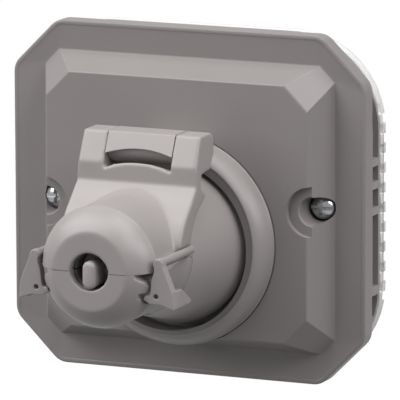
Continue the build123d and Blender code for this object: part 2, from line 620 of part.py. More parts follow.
# Carrier: a block screwed behind the ring's face that holds the jack
def jack_carrier():
    front = FACE_OUT - FACE_T
    body = block(-CARRIER_W / 2, CARRIER_W / 2, CARRIER_BACK, front, JACK_Z - CARRIER_H / 2, JACK_Z + CARRIER_H / 2)
    half_w = JACK_W / 2 + SHIELD_T
    half_h = JACK_H / 2 + SHIELD_T
    body -= block(-half_w, half_w, 0, front + 1, JACK_Z - half_h, JACK_Z + half_h)
    for x in (-CARRIER_SCREW_X, CARRIER_SCREW_X):
        body -= disc(x, JACK_Z, CARRIER_SCREW_R, 0, front + 1)
        body -= disc(x, JACK_Z, CARRIER_SCREW_HEAD_R + 0.2, 0, CARRIER_BACK + CARRIER_SCREW_HEAD_H)
    return body


def carrier_screw(x):
    seat = CARRIER_BACK + CARRIER_SCREW_HEAD_H
    body = disc(x, JACK_Z, CARRIER_SCREW_HEAD_R, CARRIER_BACK, seat)
    body += disc(x, JACK_Z, CARRIER_SCREW_R, seat, FACE_OUT - 0.8)
    return body - block(x - 0.3, x + 0.3, 0, CARRIER_BACK + 0.6, JACK_Z - 1.4, JACK_Z + 1.4)


# Wire organiser: a cap behind the jack with an entry for the wall cable
def wire_organiser():
    half_w = JACK_W / 2
    half_h = JACK_H / 2
    wall = ORGANISER_WALL
    body = block(-half_w, half_w, ORGANISER_BACK, JACK_BACK, JACK_Z - half_h, JACK_Z + half_h)
    body -= block(-half_w + wall, half_w - wall, ORGANISER_BACK + wall, JACK_BACK, JACK_Z - half_h + wall,
                  JACK_Z + half_h - wall)
    return body - disc(0, JACK_Z, CABLE_ENTRY_R, ORGANISER_BACK - 1, JACK_BACK)


def idc_terminals():
    blades = []
    for z in (JACK_Z - IDC_ROW / 2, JACK_Z + IDC_ROW / 2):
        for i in range(CONTACTS // 2):
            x = (i - (CONTACTS / 2 - 1) / 2) * IDC_PITCH
            blade = block(x - IDC_T / 2, x + IDC_T / 2, JACK_BACK - IDC_L, JACK_BACK, z - IDC_W / 2, z + IDC_W / 2)
            slot = block(x - IDC_T, x + IDC_T, JACK_BACK - IDC_L - 1, JACK_BACK - 1.5, z - 0.2, z + 0.2)
            blades.append(blade - slot)
    return Compound(children=blades)


def build_all():
    right_clip = clip()
    return {
        "front_plate": front_plate(),
        "support_frame": support_frame(),
        "wall_seal": wall_seal(),
        "fixing_screws": Compound(children=[fixing_screw(x, z) for x, z in SCREW_POINTS]),
        "screw_seals": Compound(children=[screw_seal(x, z) for x, z in SCREW_POINTS]),
        "socket_ring": socket_ring(),
        "ring_seal": ring_seal(),
        "cover_seal": cover_seal(),
        "hinge_pin": hinge_axle(PIN_R, PIN_HALF_L),
        "cover": cover(),
        "gland_upper": gland(1),
        "shell_pin": shell_axle(SHELL_PIN_R, SHELL_PIN_HALF),
        "lower_shell": lower_shell(),
        "gland_lower": gland(-1),
        "clip_right": right_clip,
        "clip_left": mirror(right_clip, Plane.YZ),
        "blanking_plug": blanking_plug(),
        "jack_housing": jack_housing(),
        "jack_contacts": jack_contacts(),
        "jack_shield": jack_shield(),
        "jack_carrier": jack_carrier(),
        "carrier_screws": Compound(children=[carrier_screw(x) for x in (-CARRIER_SCREW_X, CARRIER_SCREW_X)]),
        "wire_organiser": wire_organiser(),
        "idc_terminals": idc_terminals(),
    }


os.makedirs("parts", exist_ok=True)
for name, shape in build_all().items():
    export_step(shape, f"parts/{name}.step")
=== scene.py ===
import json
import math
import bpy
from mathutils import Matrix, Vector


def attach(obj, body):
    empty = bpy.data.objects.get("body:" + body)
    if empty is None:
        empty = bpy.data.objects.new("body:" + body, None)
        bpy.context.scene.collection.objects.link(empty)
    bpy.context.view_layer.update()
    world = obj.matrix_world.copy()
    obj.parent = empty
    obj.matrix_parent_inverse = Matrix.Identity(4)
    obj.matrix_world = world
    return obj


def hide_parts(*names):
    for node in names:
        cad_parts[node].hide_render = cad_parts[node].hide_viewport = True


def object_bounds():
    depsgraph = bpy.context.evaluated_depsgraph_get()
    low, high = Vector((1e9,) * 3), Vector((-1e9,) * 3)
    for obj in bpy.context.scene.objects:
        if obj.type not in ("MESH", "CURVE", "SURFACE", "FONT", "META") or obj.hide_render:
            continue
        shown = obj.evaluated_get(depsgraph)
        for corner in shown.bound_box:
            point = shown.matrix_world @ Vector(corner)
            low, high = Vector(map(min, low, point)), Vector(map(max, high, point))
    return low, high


bl_info = {
    "name": "Weatherproof Network Socket",
    "version": (1, 0, 0),
    "blender": (4, 5, 0),
    "location": "View3D > Sidebar > Socket",
    "description": "Dresses the packed frame of a flush weatherproof network socket",
    "category": "Object",
}

import bpy
from mathutils import Matrix, Vector

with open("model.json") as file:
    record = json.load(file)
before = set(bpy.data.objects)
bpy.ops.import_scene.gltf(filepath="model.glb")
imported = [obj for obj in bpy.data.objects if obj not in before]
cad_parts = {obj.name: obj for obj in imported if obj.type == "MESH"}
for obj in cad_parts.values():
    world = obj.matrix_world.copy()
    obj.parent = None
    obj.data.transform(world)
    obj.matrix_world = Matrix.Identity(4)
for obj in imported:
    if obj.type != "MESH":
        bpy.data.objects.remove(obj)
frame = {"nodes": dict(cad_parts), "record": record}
cad_low, cad_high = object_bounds()
MM = 0.001
NODES = frame["nodes"]

# All the numbers below are millimetres in the frame: right, out of the wall, and up.
SCREWS = ((-30.0, -0.9), (30.0, 0.9))
RING_Z, NOSE_Z, SEAM_Z = -6.8, -5.5, -5.6
NOSE_R = 12.5
HINGE_OUT, HINGE_Z = 31.6, 15.0

# Front plate: its octagons shrink ring by ring, first the flange with its rim, then the raised panel.
FLANGE_SIZE, FLANGE_CORNER, CORNER_SHRINK = (79.3, 73.1), 9.9, 0.586
FLANGE_RINGS = (  # inset, radius of the corners, out
    (0, 4.0, 6.8), (0, 4.0, 10.3), (0.09, 4.0, 10.51), (0.3, 4.0, 10.6), (0.78, 3.7, 10.6), (0.92, 3.6, 10.5),
    (1.1, 3.5, 10.46))
PANEL_SIZE, PANEL_RADIUS = (58.6, 53.9), 0.5
PANEL_RINGS = (  # growth, cut of the corners, out
    (3.7, 3.2, 10.0), (3.34, 3.3, 10.04), (3.16, 3.4, 10.36), (0.2, 5.1, 16.72), (0.08, 5.15, 16.95),
    (-0.08, 5.2, 17.07), (-0.3, 5.2, 17.1))
BACK_INSET, BACK_OUT = 2.0, (6, 8.4)
RING_HOLE = ((22.3, 5), (22.3, 16.9), (22.45, 17.2))  # radius, out, as in all the turned forms
SCREW_POCKET = ((5.25, 15.76), (5.3, 18))
SCREW_WELL = ((2.1, 5), (2.1, 8.8), (2.9, 8.8), (2.9, 15.4), (3.2, 15.8))

# Collar: face with the groove of the seal, slanted side, flange behind the plate.
COLLAR_FACE = ((13.6, 16.0), (14.6, 16.0), (14.7, 15.9), (14.7, 15.2), (16.6, 15.2), (16.6, 15.9), (16.7, 16.0),
               (17.9, 16.0), (18.4, 16.2), (18.4, 21.0), (19.25, 21.0), (19.25, 21.9))
COLLAR_SIDE = ((19.32, 22.0), (19.45, 21.97), (19.8, 21.75), (20.4, 21.15), (21.0, 20.25), (21.5, 19.2), (21.9, 18.1),
               (22.1, 17.5), (22.2, 17.4))
COLLAR_FLANGE = ((22.2, 6.3), (25.0, 6.3), (25.0, 4.4), (20.2, 4.4), (20.2, 13.4))
PORT = ((-7.3, 12, -14.0), (7.3, 18, 2.0))
FRONT_R, FRONT_HOLE_R, FRONT_HOLE_DROP, FRONT_OUT = 19.3, 17.85, 0.5, (19.5, 21.9)

# Knuckle of the hinge, seen from the side: out, up.
KNUCKLE = ((18.5, 12.3), (18.5, 14.8), (27.3, 17.9), (28.3, 18.4), (33.9, 18.4), (36.23, 13.5), (31.6, 11.9),
           (30.4, 9.7), (22.6, 9.9), (21.6, 12.2))
KNUCKLE_HALF, KNUCKLE_RADIUS, BARREL_R = 7.4, 0.4, 3.1
ARCH_R, ARCH_TOP, ARCH_OUT = 23.42, 15.3, (31.6, 40)

# Nose: rolled edge, seam, and the hairline groove on its flat front.
ROLL_OUT, ROLL_HALF, ROLL_HEIGHT = 55.0, 0.6, 0.15
SEAM_START, SEAM_CUT, SEAM_SPARE, SEAM_GAP = 38.3, 38.7, 1.0, 0.005
HAIRLINE, HAIRLINE_DEPTH, HAIRLINE_OUT = (3.0, 7.9), 0.11, 60.3

# Blanking plug with its finger grip.
PLUG = ((3.3, 49.0), (3.62, 49.3), (3.62, 55.1), (3.5, 55.42), (3.2, 55.6))
GRIP_HALF, GRIP_REACH, GRIP_Z = 1.45, 2.85, -6.25
GRIP_RINGS = ((0, 54.5), (0, 60.2), (0.08, 60.5), (0.25, 60.75), (0.55, 60.93), (0.9, 61.0))  # inset, out

# Seals: width, height and corner radius of the wall seal's two outlines, then its teeth.
WALL_SEAL, WALL_SEAL_OUT = ((79.9, 71.9, 19.4), (73.5, 65.5, 16.2)), 2.7
NOTCHES, NOTCH_PITCH, NOTCH_HALF, NOTCH_RISE, NOTCH_X = 10, 4.15, 0.975, 1.36, 39.95
NOTCH_ROWS = ((0, 0.0), (1.35, NOTCH_PITCH / 2))  # out, shift up
COVER_SEAL = ((14.75, 15.25), (16.55, 15.25), (16.55, 17.2), (16.4, 17.5), (16.05, 17.72), (15.65, 17.8),
              (15.25, 17.72), (14.9, 17.5), (14.75, 17.2))

# Fixing screws.
THREADS, THREAD_PITCH = 16, 0.7
THREAD_ROOT, THREAD_CREST = (1.32, -11.4), (1.58, -11.05)
SCREW_HEAD = ((1.85, 0.0), (1.85, 9.4), (2.45, 9.4), (2.6, 9.55), (2.6, 9.9), (2.52, 10.25), (2.32, 10.6),
              (2.0, 10.88), (1.5, 11.12), (0.9, 11.26), (0.3, 11.3))
SLOT_HALF, SLOT_FLOOR, CROSS_HALF, CROSS_FLOOR = 0.38, 10.35, 1.5, 10.0

# Lamps round the part: degrees to the right of its front, degrees up, side in metres, watts.
LAMP_AIM, LAMP_DISTANCE = (0, -0.03, 0), 0.8
LAMPS = {
    "low left": (-45, 24, 0.5, 2.3),
    "high left": (-80, 42, 0.5, 2.4),
    "top left": (-30, 58, 0.6, 3.4),
    "high right": (62, 38, 0.4, 1.8),
    "top right": (90, 70, 0.5, 2.9),
    "low right": (90, 24, 0.35, 1.9),
}

# The solved camera: place in metres, its own axes, lens and shift.
CAMERA_PLACE = (0.4825832, -1.1188769, 0.2315785)
CAMERA_RIGHT = (0.9172220, 0.3983571, -0.0039162)
CAMERA_UP = (-0.0713942, 0.1740413, 0.9821469)
CAMERA_BACK = (0.3919268, -0.9005672, 0.1880749)
CAMERA_LENS, CAMERA_SHIFT = 533.385, (0.02705, 0.00264)


# ---------------------------------------------------------------- settings

class SocketSizes(bpy.types.PropertyGroup):
    plate_edge: bpy.props.FloatProperty(
        name="Plate edge", description="Rounding of the edges of the plate", default=0.1 * MM, min=0, unit="LENGTH")
    knuckle_edge: bpy.props.FloatProperty(
        name="Knuckle edge", description="Rounding of the edges of the knuckle", default=0.22 * MM, min=0,
        unit="LENGTH")
    gland_edge: bpy.props.FloatProperty(
        name="Gland edge", description="Rounding of the edges of the gland", default=0.25 * MM, min=0, unit="LENGTH")
    seal_edge: bpy.props.FloatProperty(
        name="Seal edge", description="Rounding of the edges of the wall seal", default=0.1 * MM, min=0,
        unit="LENGTH")
    screw_edge: bpy.props.FloatProperty(
        name="Screw edge", description="Rounding of the edges of the screws", default=0.06 * MM, min=0,
        unit="LENGTH")
    cover_voxel: bpy.props.FloatProperty(
        name="Cover voxel", description="Voxel of the remesh that rounds the cover", default=0.315 * MM,
        min=0.2 * MM, unit="LENGTH")
    shell_voxel: bpy.props.FloatProperty(
        name="Shell voxel", description="Voxel of the remesh that rounds the lower shell", default=0.22 * MM,
        min=0.1 * MM, unit="LENGTH")
    clip_voxel: bpy.props.FloatProperty(
        name="Clip voxel", description="Voxel of the remesh that rounds the clips", default=0.11 * MM,
        min=0.05 * MM, unit="LENGTH")
    floor_drop: bpy.props.FloatProperty(
        name="Floor below the part", description="Height of the plate's lower edge over the floor",
        default=60 * MM, unit="LENGTH")


class SocketColours(bpy.types.PropertyGroup):
    plate: bpy.props.FloatVectorProperty(
        name="Plate", description="Grey of plate and collar", subtype="COLOR", size=3,
        default=(0.262, 0.242, 0.238), min=0, max=1)
    cover: bpy.props.FloatVectorProperty(
        name="Cover", description="Lighter grey of the cover", subtype="COLOR", size=3,
        default=(0.345, 0.318, 0.313), min=0, max=1)
    seal: bpy.props.FloatVectorProperty(
        name="Wall seal", description="Pale soft seal at the wall", subtype="COLOR", size=3,
        default=(0.86, 0.85, 0.84), min=0, max=1)


# ---------------------------------------------------------------- small helpers

def leave_edit():
    if bpy.context.object and bpy.context.object.mode != "OBJECT":
        bpy.ops.object.mode_set(mode="OBJECT")


def pick(*objects):
    leave_edit()
    bpy.ops.object.select_all(action="DESELECT")
    for o in objects:
        o.select_set(True)
    bpy.context.view_layer.objects.active = objects[0]


def settle(obj):
    pick(obj)
    bpy.ops.object.transform_apply(location=True, rotation=True, scale=True)
    return obj


def modify(obj, kind, **values):
    pick(obj)
    bpy.ops.object.modifier_add(type=kind)
    m = obj.modifiers[-1]
    for key, value in values.items():
        setattr(m, key, value)
    bpy.ops.object.modifier_apply(modifier=m.name)
    return obj


def modify_where(obj, kind, weight, **values):
    """A modifier on the vertices to which weight() gives something, from their place in millimetres."""
    group = obj.vertex_groups.new(name="where")
    for v in obj.data.vertices:
        share = weight(v.co / MM)
        if share:
            group.add([v.index], share, "REPLACE")
    modify(obj, kind, vertex_group="where", **values)
    obj.vertex_groups.clear()
    return obj


def smooth(obj, angle):
    pick(obj)
    bpy.ops.object.shade_smooth_by_angle(angle=math.radians(angle))
    return obj


def soften(obj, width, angle, segments):
    """Rounds the edges, and shades the large faces flat, so that only the rounded strips turn the light."""
    modify(obj, "BEVEL", width=width, segments=segments, limit_method="ANGLE", angle_limit=math.radians(angle),
           use_clamp_overlap=True, miter_outer="MITER_ARC", harden_normals=False)
    smooth(obj, 46)
    return modify(obj, "WEIGHTED_NORMAL", mode="FACE_AREA", weight=100, keep_sharp=True)


def cast(node, name):
    """A merged copy of a CAD node's mesh, ready to be rounded."""
    bpy.ops.object.select_all(action="DESELECT")
    obj = bpy.data.objects.new(name, NODES[node].data.copy())
    bpy.context.scene.collection.objects.link(obj)
    obj.data.materials.clear()
    pick(obj)
    bpy.ops.object.mode_set(mode="EDIT")
    bpy.ops.mesh.select_all(action="SELECT")
    bpy.ops.mesh.customdata_custom_splitnormals_clear()
    bpy.ops.mesh.remove_doubles(threshold=0.004 * MM)
    bpy.ops.mesh.dissolve_limited(angle_limit=math.radians(0.6), delimit=set())
    bpy.ops.object.mode_set(mode="OBJECT")
    return obj


def finish_piece(obj, body, nodes, material):
    if not obj.data.polygons:
        raise RuntimeError(f"{obj.name} has no faces left")
    obj.data.materials.clear()
    obj.data.materials.append(material)
    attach(obj, body)
    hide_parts(*nodes)
    return obj


# ---------------------------------------------------------------- materials

def shader_node(tree, kind, operation=None, values=()):
    """A node of a material or group, with its operation and the values of its inputs."""
    node = tree.nodes.new("ShaderNode" + kind)
    if operation:
        node.operation = operation
    for key, value in dict(values).items():
        node.inputs[key].default_value = value
    return node


def moulded_group():
    """Fine spark-eroded grain and a faint cloudiness of a moulded plastic."""
    name = "Moulded Plastic Skin"
    if name in bpy.data.node_groups:
        return bpy.data.node_groups[name]
    g = bpy.data.node_groups.new(name, "ShaderNodeTree")
    for label, kind, value in (("Base", "Color", (0.3, 0.3, 0.3, 1)), ("Roughness", "Float", 0.5),
                               ("Grain Size", "Float", 3200.0), ("Grain Depth", "Float", 0.5),
                               ("Cloud", "Float", 0.06)):
        g.interface.new_socket(name=label, in_out="INPUT", socket_type="NodeSocket" + kind).default_value = value
    for label, kind in (("Color", "Color"), ("Roughness", "Float"), ("Height", "Float")):
        g.interface.new_socket(name=label, in_out="OUTPUT", socket_type="NodeSocket" + kind)
    given, result = g.nodes.new("NodeGroupInput").outputs, g.nodes.new("NodeGroupOutput").inputs
    place = shader_node(g, "TexCoord")
    cloud = shader_node(g, "TexNoise", values={"Scale": 60, "Detail": 4})
    grain = shader_node(g, "TexNoise", values={"Detail": 3, "Roughness": 0.6})
    centred = shader_node(g, "Math", "SUBTRACT", {1: 0.5})
    amount = shader_node(g, "Math", "MULTIPLY_ADD", {2: 1.0})
    tint = shader_node(g, "VectorMath", "SCALE")
    rough = shader_node(g, "Math", "MULTIPLY_ADD", {1: 0.12})
    height = shader_node(g, "Math", "MULTIPLY")
    for source, target in (
            (place.outputs["Object"], cloud.inputs["Vector"]), (place.outputs["Object"], grain.inputs["Vector"]),
            (given["Grain Size"], grain.inputs["Scale"]), (cloud.outputs["Fac"], centred.inputs[0]),
            (centred.outputs[0], amount.inputs[0]), (given["Cloud"], amount.inputs[1]),
            (given["Base"], tint.inputs[0]), (amount.outputs[0], tint.inputs["Scale"]),
            (tint.outputs[0], result["Color"]),
            (centred.outputs[0], rough.inputs[0]), (given["Roughness"], rough.inputs[2]),
            (rough.outputs[0], result["Roughness"]),
            (grain.outputs["Fac"], height.inputs[0]), (given["Grain Depth"], height.inputs[1]),
            (height.outputs[0], result["Height"])):
        g.links.new(source, target)
    return g


def moulded(name, colour, roughness, grain=0.5, grain_size=3200.0, cloud=0.06, bump=0.02 * MM, subsurface=0.0):
    if name in bpy.data.materials:
        return bpy.data.materials[name]
    m = bpy.data.materials.new(name)
    m.use_nodes = True
    tree = m.node_tree
    shader = tree.nodes["Principled BSDF"].inputs
    skin = tree.nodes.new("ShaderNodeGroup")
    skin.node_tree = moulded_group()
    for key, value in (("Base", (*colour, 1)), ("Roughness", roughness), ("Grain Size", grain_size),
                       ("Grain Depth", grain), ("Cloud", cloud)):
        skin.inputs[key].default_value = value
    relief = shader_node(tree, "Bump", values={"Strength": 0.35, "Distance": bump})
    for source, target in ((skin.outputs["Color"], shader["Base Color"]),
                           (skin.outputs["Roughness"], shader["Roughness"]),
                           (skin.outputs["Height"], relief.inputs["Height"]),
                           (relief.outputs["Normal"], shader["Normal"])):
        tree.links.new(source, target)
    if subsurface:
        shader["Subsurface Weight"].default_value = subsurface
        shader["Subsurface Radius"].default_value = (3 * MM, 3 * MM, 3 * MM)
        shader["Subsurface Scale"].default_value = 1.0
    return m


def metal(name, colour, roughness):
    m = moulded(name, colour, roughness, grain=0.4, grain_size=2500.0, cloud=0.15, bump=0.01 * MM)
    m.node_tree.nodes["Principled BSDF"].inputs["Metallic"].default_value = 1.0
    return m


def palette():
    """The materials by the record's slots, and one more for the collar's front: a darker copy of the plate grey, as
    painted shade.
    """
    c = bpy.context.scene.socket_colours
    plate, cover, seal = tuple(c.plate), tuple(c.cover), tuple(c.seal)

    def times(colour, factor):
        return tuple(factor * v for v in colour)

    return {
        "plate_grey": moulded("Plate Grey", plate, 0.37),
        "ring_grey": moulded("Collar Grey", times(plate, 1.2), 0.37),
        # The collar's front face is 0.8 times the plate grey, darker than the collar: painted shade for the dim band
        # round the cover's rim.
        "collar_face_painted_shade": moulded("Collar Face Painted Shade", times(plate, 0.8), 0.5),
        "cover_grey": moulded("Cover Grey", cover, 0.36),
        "clip_grey": moulded("Clip Grey", times(cover, 0.95), 0.36),
        "frame_grey": moulded("Frame Grey", times(cover, 0.9), 0.45),
        "plug_grey": moulded("Plug Grey", times(cover, 1.1), 0.6),
        "seal_clear": moulded("Pale Seal", seal, 0.45, subsurface=0.6),
        "seal_dark": moulded("Dark Seal", (0.15, 0.145, 0.142), 0.6),
        "seal_black": moulded("Black Seal", (0.03, 0.03, 0.03), 0.6),
        "screw_steel": metal("Bright Zinc", (0.48, 0.49, 0.50), 0.22),
        "pin_steel": metal("Plain Steel", (0.6, 0.6, 0.6), 0.3),
        "shield_steel": metal("Pressed Sheet", (0.62, 0.62, 0.62), 0.3),
        "jack_black": moulded("Jack Black", (0.05, 0.05, 0.05), 0.35),
        "contact_gold": metal("Gold Plate", (0.85, 0.62, 0.25), 0.25),
        "organiser_white": moulded("Organiser White", (0.75, 0.75, 0.73), 0.45),
    }


# ---------------------------------------------------------------- outlines

def at(x, out, z):
    """A place from its millimetres right, out of the wall and up."""
    return Vector((x, -out, z)) * MM


def rounded(corners, radius, steps):
    """The outline of a polygon with every corner turned into an arc."""
    points = []
    for i, corner in enumerate(corners):
        p = Vector(corner)
        u = (Vector(corners[i - 1]) - p).normalized()
        v = (Vector(corners[(i + 1) % len(corners)]) - p).normalized()
        half = math.acos(max(-1, min(1, u.dot(v)))) / 2
        run = radius / math.tan(half)
        centre = p + (u + v).normalized() * (radius / math.sin(half))
        a, b = p + u * run - centre, p + v * run - centre
        for k in range(steps + 1):
            way = a.lerp(b, k / steps).normalized() * radius
            points.append(tuple(centre + way))
    return points


def octagon(width, height, corner, radius):
    w, h = width / 2, height / 2
    corners = [(w, -h + corner), (w, h - corner), (w - corner, h), (-w + corner, h), (-w, h - corner),
               (-w, -h + corner), (-w + corner, -h), (w - corner, -h)]
    return rounded(corners, radius, 4)


def flange(inset, radius=4.0):
    width, height = FLANGE_SIZE
    return octagon(width - 2 * inset, height - 2 * inset, FLANGE_CORNER - CORNER_SHRINK * inset, radius)


def rounded_box(width, height, radius):
    w, h = width / 2, height / 2
    return rounded([(w, -h), (w, h), (-w, h), (-w, -h)], radius, 12)


def circle(radius, count, x=0.0, z=0.0):
    turn = [2 * math.pi * i / count for i in range(count)]
    return [(x + radius * math.cos(t), z + radius * math.sin(t)) for t in turn]


def grip_outline(inset):
    """The long rounded outline of the plug's finger grip."""
    half, straight = GRIP_HALF - inset, GRIP_REACH - GRIP_HALF
    turn = [math.pi * i / 16 for i in range(17)]
    top = [(half * math.cos(t), GRIP_Z + straight + half * math.sin(t)) for t in turn]
    low = [(-half * math.cos(t), GRIP_Z - straight - half * math.sin(t)) for t in turn]
    return top + low


def facing(points, out):
    """An outline seen from the front, at one distance out of the wall."""
    return [at(x, out, z) for x, z in points]


def edge_on(points, x):
    """An outline of out and up, seen from the side, at one distance to the right."""
    return [at(x, out, z) for out, z in points]


# ---------------------------------------------------------------- modelling

def select_vertices(mesh, wanted):
    """Selects in object mode the vertices that wanted() names, and nothing else."""
    for part in (mesh.edges, mesh.polygons):
        for item in part:
            item.select = False
    for v in mesh.vertices:
        v.select = wanted(v)


def stack(name, loops, close=False):
    """One skin over a row of loops: circles bridged one to the next, then every corner moved to its place."""
    leave_edit()
    bpy.ops.object.select_all(action="DESELECT")
    count = len(loops[0])

    def ring(i):
        bpy.ops.mesh.primitive_circle_add(vertices=count, radius=MM, fill_type="NOTHING", location=(0, 0, i * MM))

    def choose(*wanted):
        leave_edit()
        select_vertices(mesh, lambda v: v.index // count in wanted)
        bpy.ops.object.mode_set(mode="EDIT")

    ring(0)
    obj = bpy.context.object
    obj.name = name
    mesh = obj.data
    bpy.ops.object.mode_set(mode="EDIT")
    bpy.ops.mesh.select_mode(type="VERT")
    for i in range(1, len(loops)):
        bpy.ops.mesh.select_all(action="DESELECT")
        ring(i)
        choose(i - 1, i)
        bpy.ops.mesh.bridge_edge_loops()
    last = len(loops) - 1
    if close:
        choose(0, last)
        bpy.ops.mesh.bridge_edge_loops()
    else:
        for end in (0, last):
            choose(end)
            bpy.ops.mesh.edge_face_add()
    leave_edit()
    for v in mesh.vertices:
        v.co = loops[v.index // count][v.index % count]
    bpy.ops.object.mode_set(mode="EDIT")
    bpy.ops.mesh.select_all(action="SELECT")
    bpy.ops.mesh.normals_make_consistent(inside=False)
    bpy.ops.object.mode_set(mode="OBJECT")
    return settle(obj)


def turned(name, stations, x, z, count, close=False):
    """A turned form: radius and distance out, station by station."""
    return stack(name, [facing(circle(r, count, x, z), out) for r, out in stations], close)


def block(name, low, high):
    """A box between two corners, each right, out and up."""
    leave_edit()
    bpy.ops.object.select_all(action="DESELECT")
    a, b = at(*low), at(*high)
    bpy.ops.mesh.primitive_cube_add(size=1, location=(a + b) / 2, scale=[abs(v) for v in b - a])
    bpy.context.object.name = name
    return settle(bpy.context.object)


def combine(obj, tool, operation):
    modify(obj, "BOOLEAN", object=tool, operation=operation, solver="EXACT")
    bpy.data.objects.remove(tool)
    return obj


def cut(obj, tool):
    return combine(obj, tool, "DIFFERENCE")


def add(obj, tool):
    return combine(obj, tool, "UNION")


def melt(obj, voxel, rounds):
    """Rounds every edge evenly: a fine remesh, then a smoothing."""
    modify(obj, "REMESH", mode="VOXEL", voxel_size=voxel)
    modify(obj, "SMOOTH", factor=0.5, iterations=rounds)
    bpy.ops.object.shade_smooth()
    return obj


def ease(obj, where, rounds):
    """Smooths only the vertices that where() names, for a wide soft fillet."""
    return modify_where(obj, "SMOOTH", lambda p: 1.0 if where(p) else 0, factor=0.5, iterations=rounds)


def lengthen(obj, level, reach):
    """Draws the seam face of a shell out past the seam, so that its edge is cut sharp after the melt."""
    pick(obj)
    select_vertices(obj.data, lambda v: abs(v.co.z / MM - level) < 0.03 and -v.co.y / MM > SEAM_START)
    bpy.ops.object.mode_set(mode="EDIT")
    bpy.ops.transform.translate(value=(0, 0, reach * MM))
    bpy.ops.object.mode_set(mode="OBJECT")


def roll_edge(obj):
    """A fine rolled edge round the nose: the skin swells at one distance out, and fades to both sides of it."""
    def swell(p):
        away = abs(-p.y - ROLL_OUT)
        on_nose = math.hypot(p.x, p.z - NOSE_Z) > NOSE_R - 0.4
        return (1 + math.cos(math.pi * away / ROLL_HALF)) / 2 if away < ROLL_HALF and on_nose else 0

    return modify_where(obj, "DISPLACE", swell, strength=ROLL_HEIGHT * MM, mid_level=0, direction="NORMAL")


def brow(p):
    """The edge between the dome of the nose and its flat front."""
    return 7.3 < math.hypot(p.x, p.z - NOSE_Z) < 9.0 and -p.y > 58.5


def flank(p):
    """The sides of the cover's skirt and hood."""
    return -p.y > 27.5 and ((abs(p.x) > 12.5 and p.z > -3) or (p.z > 17.3 and abs(p.x) > 8.4))


# ---------------------------------------------------------------- operators

class SOCKET_OT_finishes(bpy.types.Operator):
    """Gives every CAD node its own finish"""
    bl_idname = "socket.finishes"
    bl_label = "Finishes"

    def execute(self, context):
        mats = palette()
        for part in frame["record"]["subparts"]:
            node = NODES[part["node"]]
            node.data.materials.clear()
            node.data.materials.append(mats[part["material_slot"]])
        return {"FINISHED"}


class SOCKET_OT_plate(bpy.types.Operator):
    """Cut-corner flange with its rim, the raised panel and the screw wells"""
    bl_idname = "socket.plate"
    bl_label = "Front Plate"

    def execute(self, context):
        width, height = PANEL_SIZE
        loops = [facing(flange(inset, radius), out) for inset, radius, out in FLANGE_RINGS]
        loops += [facing(octagon(width + 2 * grow, height + 2 * grow, corner, PANEL_RADIUS), out)
                  for grow, corner, out in PANEL_RINGS]
        plate = stack("front_plate_skin", loops)
        cut(plate, turned("ring_hole", RING_HOLE, 0, RING_Z, 128))
        for x, z in SCREWS:
            cut(plate, turned("pocket", SCREW_POCKET, x, z, 64))
            cut(plate, turned("well", SCREW_WELL, x, z, 48))
        cut(plate, stack("back", [facing(flange(BACK_INSET), out) for out in BACK_OUT]))
        soften(plate, context.scene.socket_sizes.plate_edge, 40, 2)
        finish_piece(plate, "base", ["front_plate"], palette()["plate_grey"])
        return {"FINISHED"}


class SOCKET_OT_collar(bpy.types.Operator):
    """Round collar on the panel, its face with the port, and the fixed knuckle of the hinge"""
    bl_idname = "socket.collar"
    bl_label = "Collar and Knuckle"

    def execute(self, context):
        mats = palette()
        collar = turned("collar", COLLAR_FACE + COLLAR_SIDE + COLLAR_FLANGE, 0, RING_Z, 144)
        cut(collar, block("port", *PORT))
        smooth(collar, 40)
        finish_piece(collar, "base", ["socket_ring"], mats["ring_grey"])

        # The flat front round the cover's rim. Its hole sits low, for the way of the rim as the cover opens.
        inner, outer = circle(FRONT_HOLE_R, 144, 0, RING_Z - FRONT_HOLE_DROP), circle(FRONT_R, 144, 0, RING_Z)
        back, front = FRONT_OUT
        loops = [(inner, back), (inner, front), (outer, front), (outer, back)]
        face = smooth(stack("collar_face", [facing(points, out) for points, out in loops], close=True), 40)
        # Its darker grey is painted shade, for the band round the rim that lies in shadow.
        finish_piece(face, "base", ["socket_ring"], mats["collar_face_painted_shade"])

        outline = rounded(KNUCKLE, KNUCKLE_RADIUS, 4)
        knuckle = stack("knuckle", [edge_on(outline, x) for x in (-KNUCKLE_HALF, KNUCKLE_HALF)])
        cut(knuckle, turned("arch", [(ARCH_R, out) for out in ARCH_OUT], 0, ARCH_TOP - ARCH_R, 256))
        soften(knuckle, context.scene.socket_sizes.knuckle_edge, 40, 3)
        outline = circle(BARREL_R, 64, HINGE_OUT, HINGE_Z)
        barrel = stack("barrel", [edge_on(outline, x) for x in (-KNUCKLE_HALF, KNUCKLE_HALF)])
        smooth(barrel, 40)
        for obj in (knuckle, barrel):
            finish_piece(obj, "base", ["socket_ring"], mats["cover_grey"])
        return {"FINISHED"}


class SOCKET_OT_cover(bpy.types.Operator):
    """Hinged cover: rim, bell, skirt, arms and the upper half of the nose"""
    bl_idname = "socket.cover"
    bl_label = "Cover"

    def execute(self, context):
        cover = cast("cover", "cover_skin")
        lengthen(cover, SEAM_Z + 0.1, -SEAM_SPARE)
        melt(cover, context.scene.socket_sizes.cover_voxel, 4)
        roll_edge(cover)
        cut(cover, block("above_seam", (-16, SEAM_CUT, SEAM_Z - 2), (16, 63, SEAM_Z + SEAM_GAP)))
        smooth(cover, 50)
        ease(cover, brow, 5)
        ease(cover, flank, 7)
        finish_piece(cover, "cover", ["cover"], palette()["cover_grey"])
        return {"FINISHED"}


